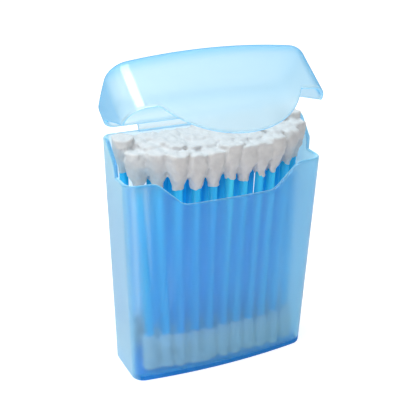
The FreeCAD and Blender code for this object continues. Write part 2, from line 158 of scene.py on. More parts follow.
@dataclass(frozen=True)
class Polypropylene:
    """Injection-moulded translucent polypropylene, tinted blue all through.

    It is clear plastic with a milky share. The share and its colour follow the slant at which
    a wall is seen, or the attribute "brim" where a piece has one, because light takes a longer
    path there. A box also has a deep blue band painted near the ground, at the front and back
    but not at its sides: it stands for the thick floor seen edge on and for the shade in it.
    Heights are in mm, density is per metre.
    """

    name: str
    absorbed: str = "7ADCFF"
    density: float = 290.0
    blur: float = 0.31
    gloss: float = 0.1
    ior: float = 1.49
    clear_gleam: float = 0.15
    milk_gleam: float = 0.3
    milk: str = "60DCF4"
    milk_edge: str = "D2F8FE"
    milk_face: float = 0.06
    milk_slant: float = 0.88
    milk_glow: float = 0.5
    slant_start: float = 0.1
    slant_full: float = 0.72
    floor_band_shade: str = "3090D4"
    deep_share: float = 0.0
    deep_top: float = 3.4
    deep_fade: float = 1.6
    deep_side: float = 0.95
    deep_front: float = 0.55
    shade: str = "F2FAFE"

    def make(self) -> bpy.types.Material:
        """Build the material: blurred clear plastic, a milky share and a painted deep blue floor band.

        Returns:
            The material.
        """
        # The eye sees a pale, slightly milky wall that blurs what stands behind it.
        material, tree, output = new_material(self.name)
        place = add_node(tree, "ShaderNodeTexCoord")
        floor_seen = self.floor_seen(tree, place)
        long_path = self.long_path(tree)
        milkiness = add_node(
            tree,
            "ShaderNodeMapRange",
            {"Value": long_path, "To Min": self.milk_face, "To Max": self.milk_slant},
        )
        share = add_node(tree, "ShaderNodeMath", {0: milkiness, 1: floor_seen}, operation="MAXIMUM")
        clouded = add_node(
            tree,
            "ShaderNodeMix",
            {"Factor": long_path, "A": linear(self.milk), "B": linear(self.milk_edge)},
            data_type="RGBA",
        )
        # Painted shade: near the ground the wall takes a deep blue band for the thick floor behind it.
        colour = add_node(
            tree,
            "ShaderNodeMix",
            {"Factor": floor_seen, "A": clouded.outputs["Result"], "B": linear(self.floor_band_shade)},
            data_type="RGBA",
        )
        clear = add_node(
            tree,
            "ShaderNodeBsdfPrincipled",
            {
                "Base Color": (1, 1, 1, 1),
                "Roughness": self.blur,
                "IOR": self.ior,
                "Specular IOR Level": self.clear_gleam,
                "Transmission Weight": 1.0,
            },
        )
        milk = add_node(
            tree,
            "ShaderNodeBsdfPrincipled",
            {
                "Base Color": colour.outputs["Result"],
                "Roughness": self.gloss,
                "IOR": self.ior,
                "Specular IOR Level": self.milk_gleam,
            },
        )
        glow = add_node(tree, "ShaderNodeBsdfTranslucent", {"Color": colour.outputs["Result"]})
        milky = add_node(tree, "ShaderNodeMixShader", {0: self.milk_glow, 1: milk, 2: glow})
        wall = add_node(tree, "ShaderNodeMixShader", {0: share, 1: clear, 2: milky})
        see_through(tree, wall, self.shade, output)
        inside = add_node(
            tree, "ShaderNodeVolumeAbsorption", {"Color": linear(self.absorbed), "Density": self.density}
        )
        tree.links.new(inside.outputs[0], output.inputs["Volume"])
        return material

    def floor_seen(self, tree: bpy.types.NodeTree, place: bpy.types.Node) -> bpy.types.Node:
        """How much painted deep blue a point of the wall takes, for the thick floor behind it and its
        shade.

        Args:
            tree: The material's tree.
            place: Texture coordinates of the piece.

        Returns:
            The node that holds the share.
        """
        split = add_node(tree, "ShaderNodeSeparateXYZ", {0: place.outputs["Object"]})
        depth = add_node(
            tree,
            "ShaderNodeMapRange",
            {
                "Value": split.outputs["Z"],
                "From Min": self.deep_top * MM,
                "From Max": (self.deep_top - self.deep_fade) * MM,
                "To Max": self.deep_share,
            },
            interpolation_type="SMOOTHSTEP",
        )
        facing = add_node(tree, "ShaderNodeSeparateXYZ", {0: place.outputs["Normal"]})
        sideways = add_node(tree, "ShaderNodeMath", {0: facing.outputs["X"]}, operation="ABSOLUTE")
        ahead = add_node(
            tree,
            "ShaderNodeMapRange",
            {"Value": sideways, "From Min": self.deep_side, "From Max": self.deep_front},
        )
        return add_node(tree, "ShaderNodeMath", {0: depth, 1: ahead}, operation="MULTIPLY")

    def long_path(self, tree: bpy.types.NodeTree) -> bpy.types.Node:
        """How long light travels inside the plastic: by slant, or as the brim says.

        Args:
            tree: The material's tree.

        Returns:
            The node that holds the share.
        """
        slant = add_node(tree, "ShaderNodeLayerWeight", {"Blend": 0.5})
        tilt = add_node(
            tree,
            "ShaderNodeMapRange",
            {
                "Value": slant.outputs["Facing"],
                "From Min": self.slant_start,
                "From Max": self.slant_full,
            },
            interpolation_type="SMOOTHSTEP",
        )
        brim = add_node(tree, "ShaderNodeAttribute", attribute_name="brim")
        return add_node(tree, "ShaderNodeMath", {0: tilt, 1: brim.outputs["Fac"]}, operation="MAXIMUM")


@dataclass(frozen=True)
class StemPlastic:
    """Extruded plastic tube, dyed a saturated blue, glossy, and clear enough to glow.

    The streaks are draw lines, drawn coarser than real ones, about 3 mm apart round the tube and
    80 mm along it, so that they show; their pale cyan is painted highlight.
    """

    name: str = "extruded blue stem plastic"
    colour: str = "60FCFF"
    streak: str = "009CF4"
    glow: str = "24DCFF"
    glow_share: float = 0.35
    shade: str = "A0E0FB"
    gloss: float = 0.12
    ior: float = 1.49
    draw_lines_and_gleams_per_metre: tuple[float, float, float] = (340.0, 340.0, 12.0)
    draw_line_and_gleam_detail: float = 2.0

    def make(self) -> bpy.types.Material:
        """Build the material: gloss plastic that light shines through, with draw lines.

        Returns:
            The material.
        """
        # The eye sees a strong blue with pale streaks of painted highlight and a thin bright gleam along
        # it.
        material, tree, output = new_material(self.name)
        place = add_node(tree, "ShaderNodeTexCoord")
        stretch = add_node(
            tree, "ShaderNodeMapping", {"Vector": place.outputs["Object"], "Scale": self.draw_lines_and_gleams_per_metre}
        )
        draw_lines_and_gleams = add_node(
            tree, "ShaderNodeTexNoise", {"Vector": stretch, "Scale": 1.0, "Detail": self.draw_line_and_gleam_detail}
        )
        # Pale cyan draw lines stand in for highlights: painted highlight along the tube.
        colour = add_node(
            tree,
            "ShaderNodeMix",
            {"Factor": draw_lines_and_gleams.outputs["Fac"], "A": linear(self.streak), "B": linear(self.colour)},
            data_type="RGBA",
        )
        tube = add_node(
            tree,
            "ShaderNodeBsdfPrincipled",
            {"Base Color": colour.outputs["Result"], "Roughness": self.gloss, "IOR": self.ior},
        )
        glow = add_node(tree, "ShaderNodeBsdfTranslucent", {"Color": linear(self.glow)})
        lit = add_node(tree, "ShaderNodeMixShader", {0: self.glow_share, 1: tube, 2: glow})
        see_through(tree, lit, self.shade, output)
        return material


@dataclass(frozen=True)
class Cotton:
    """Bleached cotton fibre wound on the stem and pressed: matte white with a soft edge."""

    name: str = "wound bleached cotton"
    colour: str = "F4F0EC"
    hollow_shade: str = "D2CECC"
    lump_mm: float = 2.2
    lump_detail: float = 3.0
    fibre_mm: float = 0.35
    fibre_detail: float = 4.0
    fibre_roughness: float = 0.7
    fibre_tangle: float = 1.2
    pile: float = 0.5
    pile_mm: float = 0.12
    roughness: float = 0.95
    gloss: float = 0.2
    sheen: float = 0.3
    sheen_roughness: float = 0.5
    glow_share: float = 0.25

    def make(self) -> bpy.types.Material:
        """Build the material: matte fibre with patches of painted hollow shade, fine streaks and sheen.

        Returns:
            The material.
        """
        # The eye sees a soft white with no gloss, darker in soft patches of painted shade for faint
        # hollows.
        # Real fibres are about 0.02 mm thick, so they are drawn coarser to show.
        material, tree, output = new_material(self.name)
        place = add_node(tree, "ShaderNodeTexCoord")
        lumps = add_node(
            tree,
            "ShaderNodeTexNoise",
            {
                "Vector": place.outputs["Object"],
                "Scale": 1 / (self.lump_mm * MM),
                "Detail": self.lump_detail,
            },
        )
        fibres = add_node(
            tree,
            "ShaderNodeTexNoise",
            {
                "Vector": place.outputs["Object"],
                "Scale": 1 / (self.fibre_mm * MM),
                "Detail": self.fibre_detail,
                "Roughness": self.fibre_roughness,
                "Distortion": self.fibre_tangle,
            },
        )
        # Painted shade: the cotton is darker in soft random patches, standing for its hollows.
        colour = add_node(
            tree,
            "ShaderNodeMix",
            {"Factor": lumps.outputs["Fac"], "A": linear(self.hollow_shade), "B": linear(self.colour)},
            data_type="RGBA",
        )
        bump = add_node(
            tree,
            "ShaderNodeBump",
            {"Height": fibres.outputs["Fac"], "Strength": self.pile, "Distance": self.pile_mm * MM},
        )
        shader = add_node(
            tree,
            "ShaderNodeBsdfPrincipled",
            {
                "Base Color": colour.outputs["Result"],
                "Normal": bump,
                "Roughness": self.roughness,
                "Specular IOR Level": self.gloss,
                "Sheen Weight": self.sheen,
                "Sheen Roughness": self.sheen_roughness,
            },
        )
        glow = add_node(
            tree, "ShaderNodeBsdfTranslucent", {"Color": colour.outputs["Result"], "Normal": bump}
        )
        soft = add_node(tree, "ShaderNodeMixShader", {0: self.glow_share, 1: shader, 2: glow})
        tree.links.new(soft.outputs[0], output.inputs["Surface"])
        return material


def mesh_object(
    name: str, vertices: np.ndarray, faces: list, material: bpy.types.Material
) -> bpy.types.Object:
    """A smooth-shaded mesh object at the origin.

    Args:
        name: Name of the object.
        vertices: Points in metres, one row each.
        faces: Vertex numbers of each face.
        material: The only material.

    Returns:
        The linked object.
    """
    mesh = bpy.data.meshes.new(name)
    mesh.from_pydata([tuple(v) for v in vertices], [], faces)
    mesh.validate()
    mesh.materials.append(material)
    mesh.shade_smooth()
    item = bpy.data.objects.new(name, mesh)
    bpy.context.scene.collection.objects.link(item)
    return item


@dataclass(frozen=True)
class Plan:
    """Plan of a moulding: flat back, convex front, round corners, and sides that may barrel (mm)."""

    back: float
    width: float
    depth: float
    bulge: float
    front_radius: float
    back_radius: float
    barrel: float = 0.0
    straight_points: int = 90
    back_points: int = 120
    front_points: int = 400

    def walk(self, inset: np.ndarray | float, stations: np.ndarray) -> np.ndarray:
        """Points of the plan moved inwards, at fixed stations round the outline.

        Args:
            inset: Distance inwards, in mm.
            stations: Values from 0 to 1 round the outline, from the middle of the back
                anticlockwise seen from above.

        Returns:
            Array of x and y in mm, one row for each station.
        """
        points, normals = self._outline()
        step = np.linalg.norm(np.diff(points, axis=0), axis=1)
        along = np.concatenate([[0], np.cumsum(step)]) / step.sum()
        x = np.interp(stations, along, points[:, 0])
        y = np.interp(stations, along, points[:, 1])
        nx = np.interp(stations, along, normals[:, 0])
        ny = np.interp(stations, along, normals[:, 1])
        length = np.hypot(nx, ny)
        x, y = x - inset * nx / length, y - inset * ny / length
        off_middle = (y - self.back) / (self.depth / 2) + 1
        return np.stack([x * (1 - 2 * self.barrel / self.width * off_middle**2), y], axis=1)

    def _outline(self) -> tuple[np.ndarray, np.ndarray]:
        """Dense points of the outer outline and their outward normals.

        Returns:
            Points in mm and unit normals, one row each.
        """
        half, sweep = self.width / 2, ((self.width / 2) ** 2 + self.bulge**2) / (2 * self.bulge)
        centre_y = self.back - self.depth + sweep
        rf, rb = self.front_radius, self.back_radius
        corner_y = centre_y - math.sqrt((sweep - rf) ** 2 - (half - rf) ** 2)
        turn = math.atan2(corner_y - centre_y, half - rf)
        points, normals = [], []

        def line(
            start: tuple[float, float], end: tuple[float, float], normal: tuple[float, float], count: int
        ) -> None:
            """Add a straight run.

            Args:
                start: First point.
                end: Point where the next run starts.
                normal: Outward normal of the run.
                count: Number of points.
            """
            for t in np.linspace(0, 1, count, endpoint=False):
                points.append((start[0] + (end[0] - start[0]) * t, start[1] + (end[1] - start[1]) * t))
                normals.append(normal)

        def arc(cx: float, cy: float, radius: float, start: float, end: float, count: int) -> None:
            """Add an arc.

            Args:
                cx: Centre, across.
                cy: Centre, front to back.
                radius: Radius of the arc.
                start: First angle.
                end: Angle where the next run starts.
                count: Number of points.
            """
            for a in np.linspace(start, end, count, endpoint=False):
                points.append((cx + radius * math.cos(a), cy + radius * math.sin(a)))
                normals.append((math.cos(a), math.sin(a)))

        quarter, some, back = math.pi / 2, self.straight_points, self.back
        line((0, back), (rb - half, back), (0, 1), self.back_points)
        arc(rb - half, back - rb, rb, quarter, 2 * quarter, some)
        line((-half, back - rb), (-half, corner_y), (-1, 0), some)
        arc(rf - half, corner_y, rf, 2 * quarter, 2 * quarter - turn, some)
        arc(0, centre_y, sweep, -2 * quarter - turn, turn, self.front_points)
        arc(half - rf, corner_y, rf, turn, 0, some)
        line((half, corner_y), (half, back - rb), (1, 0), some)
        arc(half - rb, back - rb, rb, 0, quarter, some)
        line((half - rb, back), (0, back), (0, 1), self.back_points)
        points.append((0, back))
        normals.append((0, 1))
        return np.array(points), np.array(normals)


def bent_line(
    corners: list[tuple[float, float, float]], at: np.ndarray, bend_points: int = 24
) -> np.ndarray:
    """Height of a line of straight runs with rounded bends.

    Args:
        corners: (distance, height, bend radius) of each corner, in rising distance.
        at: Distances to read.
        bend_points: Points on each bend.

    Returns:
        Heights at those distances.
    """
    dense_x, dense_y = [corners[0][0]], [corners[0][1]]
    for (x0, y0, _), (x1, y1, radius), (x2, y2, _) in zip(corners, corners[1:], corners[2:]):
        here = Vector((x1, y1))
        back, ahead = (Vector((x0, y0)) - here).normalized(), (Vector((x2, y2)) - here).normalized()
        half = back.angle(ahead) / 2
        reach = radius / math.tan(half)
        centre = here + (back + ahead).normalized() * (radius / math.sin(half))
        start, end = here + back * reach - centre, here + ahead * reach - centre
        for t in np.linspace(0, 1, bend_points):
            spot = centre + start.slerp(end, t).normalized() * radius
            dense_x.append(spot.x)
            dense_y.append(spot.y)
    dense_x.append(corners[-1][0])
    dense_y.append(corners[-1][1])
    return np.interp(at, dense_x, dense_y)


def shell_mesh(rings: list[np.ndarray]) -> tuple[np.ndarray, list]:
    """Join closed rings of equal length into one skin, capped flat at both ends.

    Args:
        rings: Rings of points, each an array of the same shape, from end to end.

    Returns:
        Vertices and faces.
    """
    count = len(rings[0])
    faces = []
    for row in range(len(rings) - 1):
        for i in range(count):
            j = (i + 1) % count
            faces.append((row * count + i, row * count + j, (row + 1) * count + j, (row + 1) * count + i))
    faces.append(tuple(reversed(range(count))))
    last = (len(rings) - 1) * count
    faces.append(tuple(range(last, last + count)))
    return np.concatenate(rings), faces


@dataclass
class Box:
    """The open box: tapering shell with a low notched front (mm)."""

    height: float = 78.0
    rim: Plan = Plan(10.55, 67.3, 21.7, 2.4, 4.2, 3.0)
    base: Plan = Plan(10.55, 61.4, 21.1, 2.4, 4.2, 3.0)
    wall: float = 1.2
    floor: float = 1.5
    base_round: float = 1.0
    core_round: float = 0.5
    shoulder: float = 68.1
    slope_start: float = 4.6
    slope_run: float = 9.8
    slope_bend: float = 3.0
    notch: float = 60.4
    notch_mouth: float = 48.0
    notch_floor: float = 31.0
    notch_bend: float = 5.0
    stations: int = 720
    rows: int = 40
    base_steps: int = 7
    rim_steps: int = 9
    core_steps: int = 5
    wall_spots: int = 240
    batch: int = 4000

    def rim_height(self, x: np.ndarray, y: np.ndarray) -> np.ndarray:
        """Height of the rim over points of the plan.

        Args:
            x: Across, in mm.
            y: Front to back, in mm.

        Returns:
            Heights in mm.
        """
        top = self.rim.back - self.slope_start
        side = bent_line(
            [
                (-FAR, self.shoulder, 0),
                (top - self.slope_run, self.shoulder, self.slope_bend),
                (top, self.height, self.slope_bend),
                (FAR, self.height, 0),
            ],
            y,
        )
        notch = bent_line(
            [
                (0, self.notch, 0),
                (self.notch_floor / 2, self.notch, self.notch_bend),
                (self.notch_mouth / 2, self.shoulder, self.notch_bend),
                (FAR, self.shoulder, 0),
            ],
            np.abs(x),
        )
        return np.where(y < 0, np.minimum(side, notch), side)

    def ring(self, inset: float, level: np.ndarray | float, spots: np.ndarray) -> np.ndarray:
        """Points of the tapering plan at given heights.

        Args:
            inset: Distance inwards, in mm.
            level: Height of each point, in mm.
            spots: Stations round the outline.

        Returns:
            Points in metres.
        """
        low, high = self.base.walk(inset, spots), self.rim.walk(inset, spots)
        share = (np.zeros(len(spots)) + level) / self.height
        flat = low + (high - low) * share[:, None]
        return np.column_stack([flat, np.zeros(len(spots)) + level]) * MM

    def hold(self, mesh: bpy.types.Mesh, top: Plan, gap: float) -> None:
        """Press what stands in the box flat where it would reach into a wall.

        Args:
            mesh: Mesh of the contents, in metres.
            top: Plan of the wall at the height of the rim.
            gap: Least distance to the wall, in mm.
        """
        spots = np.linspace(0, 1, self.wall_spots, endpoint=False)
        low, high = self.base.walk(self.wall + gap, spots), top.walk(self.wall + gap, spots)
        points = np.empty(len(mesh.vertices) * 3)
        mesh.vertices.foreach_get("co", points)
        points = points.reshape(-1, 3) / MM
        for start in range(0, len(points), self.batch):
            part = points[start : start + self.batch]
            wall = low + (high - low) * (part[:, 2] / self.height)[:, None, None]
            side = np.roll(wall, -1, 1) - wall
            away = part[:, None, :2] - wall
            length = np.linalg.norm(side, axis=2)
            depth = (side[..., 0] * away[..., 1] - side[..., 1] * away[..., 0]) / length
            nearest = depth.argmin(1)
            rows = np.arange(len(part))
            out = np.minimum(depth[rows, nearest], 0)
            along = side[rows, nearest] / length[rows, nearest][:, None]
            part[:, 0] += along[:, 1] * out
            part[:, 1] -= along[:, 0] * out
        mesh.vertices.foreach_set("co", (points * MM).ravel())
        mesh.update()

    def build(self, material: bpy.types.Material) -> bpy.types.Object:
        """Mesh of the box.

        Args:
            material: The plastic.

        Returns:
            The piece.
        """
        spots = np.linspace(0, 1, self.stations, endpoint=False)
        outline = self.rim.walk(0, spots)
        rim = self.rim_height(outline[:, 0], outline[:, 1])
        half = self.wall / 2
        rings = []
        for angle in np.linspace(0, 90, self.base_steps):
            a = math.radians(angle)
            rings.append(
                self.ring(self.base_round * (1 - math.sin(a)), self.base_round * (1 - math.cos(a)), spots)
            )
        for t in np.linspace(0, 1, self.rows)[1:]:
            rings.append(self.ring(0, self.base_round + (rim - half - self.base_round) * t, spots))
        for angle in np.linspace(0, 180, self.rim_steps)[1:]:
            a = math.radians(angle)
            rings.append(self.ring(half - half * math.cos(a), rim - half + half * math.sin(a), spots))
        low = self.floor + self.core_round
        for t in np.linspace(1, 0, self.rows)[1:]:
            rings.append(self.ring(self.wall, low + (rim - half - low) * t, spots))
        for angle in np.linspace(0, 90, self.core_steps)[1:]:
            a = math.radians(angle)
            inset = self.wall + self.core_round * (1 - math.cos(a))
            rings.append(self.ring(inset, low - self.core_round * math.sin(a), spots))
        vertices, faces = shell_mesh(rings)
        return mesh_object("box_shell", vertices, faces, material)


@dataclass
class Lid:
    """The lid: domed shell whose skirt follows the box rim, with a tongue in front (mm).

    It is drawn shut in the frame of its hinge, then turned open on it. Its attribute "brim"
    is strongest where the roof meets the wall and fades over brim_reach.
    """

    hinge: Vector
    open_angle: float
    plan: Plan = Plan(-0.3, 66.4, 23.2, 2.4, 7.0, 4.0, 0.5)
    rise: float = 9.2
    crown: float = 1.1
    rounding: float = 2.8
    wall: float = 1.2
    edge: float = 0.35
    rim_drop: float = 0.8
    skirt: float = -10.1
    slope_top: float = -4.9
    slope_run: float = 9.8
    slope_drop: float = 9.9
    slope_bend: float = 3.0
    seam: float = 0.6
    tongue_half: float = 23.0
    tongue_drop: float = 14.0
    tongue_slope: float = 55.0
    tongue_root: float = 1.6
    brim_reach: float = 7.0
    brim_share: float = 0.85
    roof_end: float = 0.985
    stations: int = 720
    rows: int = 26
    round_steps: int = 10
    roof_rows: int = 14
    edge_steps: int = 9

    def low_edge(self, x: np.ndarray, y: np.ndarray) -> np.ndarray:
        """Height of the skirt's edge over points of the plan.

        Args:
            x: Across, in mm.
            y: Front to back, in mm.

        Returns:
            Heights in mm, in the frame of the hinge.
        """
        tangent = self.slope_drop / self.slope_run
        apart = self.seam * math.hypot(1, tangent)
        slope_foot = self.slope_top - self.slope_run
        turn_top = self.slope_top + (self.edge + self.rim_drop - apart) / tangent
        turn_foot = slope_foot - (apart - self.seam) / tangent
        side = bent_line(
            [
                (-FAR, self.skirt, 0),
                (turn_foot, self.skirt, self.slope_bend),
                (turn_top, self.edge, self.slope_bend),
                (FAR, self.edge, 0),
            ],
            y,
        )
        slope = math.radians(self.tongue_slope)
        drop = self.tongue_half * math.tan(slope)
        bend = (drop - self.tongue_drop) / (1 / math.cos(slope) - 1)
        tongue = bent_line(
            [
                (-FAR, self.skirt, 0),
                (-self.tongue_half, self.skirt, self.tongue_root),
                (0, self.skirt - drop, bend),
                (self.tongue_half, self.skirt, self.tongue_root),
                (FAR, self.skirt, 0),
            ],
            x,
        )
        return np.where(y < slope_foot, np.minimum(side, tongue), side)

    def place(self, points: np.ndarray) -> np.ndarray:
        """Turn points from the hinge's frame to the open lid.

        Args:
            points: Points in mm, in the frame of the hinge.

        Returns:
            Points in metres, in the part's frame.
        """
        turn = np.array(Matrix.Rotation(-self.open_angle, 3, "X"))
        return points @ turn.T * MM + np.array(self.hinge)

    def roof(self, x: np.ndarray, inset: float) -> np.ndarray:
        """Height of the crowned roof, drawn in by an inset.

        Args:
            x: Across, in mm.
            inset: How far the skin lies inside the outer one, in mm.

        Returns:
            Heights in mm, in the frame of the hinge.
        """
        span = self.plan.width / 2
        radius = span**2 / (2 * self.crown)
        return self.rise - inset - radius + np.sqrt(radius**2 - x**2)

    def skin(self, inset: float, spots: np.ndarray) -> list[np.ndarray]:
        """Rings of the round edge and the roof, from the top of the wall to the middle.

        Args:
            inset: How far the skin lies inside the outer one, in mm.
            spots: Stations round the outline.

        Returns:
            Rings of points in mm.
        """
        rounding = self.rounding - inset
        rings = []
        for angle in np.linspace(0, 90, self.round_steps):
            a = math.radians(angle)
            flat = self.plan.walk(inset + rounding * (1 - math.cos(a)), spots)
            edge = self.plan.walk(inset, spots)
            z = self.roof(flat[:, 0], inset) - rounding * (1 - math.sin(a))
            z = z if angle else self.roof(edge[:, 0], inset) - rounding
            rings.append(np.column_stack([flat, z]))
        rim = rings[-1]
        middle = np.array([0, self.plan.back - self.plan.depth / 2])
        for t in np.linspace(0, self.roof_end, self.roof_rows)[1:]:
            flat = rim[:, :2] + (middle - rim[:, :2]) * t
            rings.append(np.column_stack([flat, self.roof(flat[:, 0], inset)]))
        return rings

    def build(self, material: bpy.types.Material) -> bpy.types.Object:
        """Mesh of the lid.

        Args:
            material: The plastic.

        Returns:
            The piece.
        """
        spots = np.linspace(0, 1, self.stations, endpoint=False)
        outline = self.plan.walk(0, spots)
        low = self.low_edge(outline[:, 0], outline[:, 1])
        half = self.wall / 2
        outer, inner = self.skin(0, spots), self.skin(self.wall, spots)
        rings = list(reversed(inner))
        for t in np.linspace(0, 1, self.rows)[1:]:
            start = inner[0]
            z = start[:, 2] + (low + half - start[:, 2]) * t
            rings.append(np.column_stack([start[:, :2], z]))
        for angle in np.linspace(0, 180, self.edge_steps)[1:]:
            a = math.radians(angle)
            flat = self.plan.walk(half + half * math.cos(a), spots)
            rings.append(np.column_stack([flat, low + half - half * math.sin(a)]))
        for t in np.linspace(1, 0, self.rows)[1:]:
            start = outer[0]
            z = start[:, 2] + (low + half - start[:, 2]) * t
            rings.append(np.column_stack([start[:, :2], z]))
        rings += outer[1:]
        vertices, faces = shell_mesh(rings)
        piece = mesh_object("lid_shell", self.place(vertices), faces, material)
        under = self.roof(vertices[:, 0], 0) - vertices[:, 2]
        inwards = np.linalg.norm(vertices[:, :2] - np.tile(outline, (len(rings), 1)), axis=1)
        brim = np.clip(1 - np.hypot(under, inwards) / self.brim_reach, 0, 1) * self.brim_share
        piece.data.attributes.new("brim", "FLOAT", "POINT").data.foreach_set("value", brim)
        return piece


@dataclass
class LivingHinge:
    """Thin web, moulded in one with box and lid, that bends where the lid turns (mm).

    Its middle line is one smooth curve, seen from the side: it starts just inside the box's
    rim, leaves it upwards, and ends inside the lid's back edge.
    """

    lid: Lid
    box: Box
    width: float = 43.0
    thickness: float = 0.5
    root_inset: float = 0.2
    root_depth: float = 0.7
    climb: float = 1.3
    bend_below: float = 0.3
    lid_inset: float = 0.5
    lid_edge: float = 0.15
    lid_root: float = 1.5
    path_points: int = 13
    columns: int = 61

    def path(self, low: Vector, up: Vector, into: Vector, high: Vector) -> list[Vector]:
        """Middle line of the web: a cubic curve.

        Args:
            low: Start, in the box's rim.
            up: The point that the curve leaves towards.
            into: The point that it arrives from.
            high: End, in the lid's edge.

        Returns:
            Points in metres, from the box to the lid.
        """
        points = []
        for t in np.linspace(0, 1, self.path_points).tolist():
            s = 1 - t
            points.append(s**3 * low + 3 * s * s * t * up + 3 * s * t * t * into + t**3 * high)
        return points

    def section(self, path: list[Vector], x: float) -> np.ndarray:
        """Closed outline of the web where it is cut at one place across the box.

        Args:
            path: The middle line.
            x: Place across the box, in mm.

        Returns:
            Points in metres, up one face and down the other.
        """
        ring = []
        numbers = list(range(len(path)))
        for side, order in ((0.5, numbers), (-0.5, numbers[::-1])):
            for i in order:
                ahead = path[min(i + 1, len(path) - 1)] - path[max(i - 1, 0)]
                normal = Vector((0, ahead.z, -ahead.y)).normalized()
                offset = path[i] + normal * side * self.thickness * MM
                ring.append((x * MM, offset.y, offset.z))
        return np.array(ring)

    def build(self, material: bpy.types.Material) -> bpy.types.Object:
        """Mesh of the web, from inside the box rim to inside the lid's back edge.

        Args:
            material: The plastic.

        Returns:
            The piece, blended between box and lid.
        """
        root_y, root_z = self.box.rim.back - self.root_inset, self.box.height - self.root_depth
        low = Vector((0, root_y, root_z)) * MM
        up = low + Vector((0, 0, self.climb)) * MM
        spots = self.lid.place(
            np.array([[0, -self.lid_inset, self.lid_edge], [0, -self.lid_inset, self.lid_root]])
        )
        into, high = Vector(spots[0]), Vector(spots[1])
        path = self.path(low, up, into, high)
        across = np.linspace(-self.width / 2, self.width / 2, self.columns).tolist()
        vertices, faces = shell_mesh([self.section(path, x) for x in across])
        piece = mesh_object("hinge_web", vertices, faces, material)
        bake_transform(piece)
        return piece


@dataclass(frozen=True)
class TipEnd:
    """The cotton at one end of all the swabs (mm).

    The widths say how thick a tip is along its length, from where it meets the stem: both
    numbers of a pair run from 0 to 1. Uneven is how much thicker some tips are, as a share.
    """

    name: str
    radius: float
    uneven: float
    widths: tuple[tuple[float, float], ...]


TOPS = TipEnd(
    "cotton_tops",
    3.1,
    0.2,
    (
        (0.0, 0.0), (0.03, 0.4), (0.1, 0.44), (0.4, 0.92), (0.5, 1.0),
        (0.62, 1.0), (0.68, 0.98), (0.72, 0.93), (0.76, 0.8), (1.0, 0.0),
    ),
)
FEET = TipEnd(
    "cotton_feet",
    2.2,
    0.12,
    (
        (0.0, 0.0), (0.03, 0.6), (0.12, 0.9), (0.2, 1.0),
        (0.62, 1.0), (0.68, 0.98), (0.72, 0.92), (0.76, 0.8), (1.0, 0.0),
    ),
)
# Height of each ring of a tip: the rings crowd together in the flat end.
TIP_HEIGHT = (
    (0.0, 0.0), (0.03, 0.005), (0.62, 0.94), (0.68, 0.972), (0.72, 0.986), (0.76, 0.993), (1.0, 1.0),
)


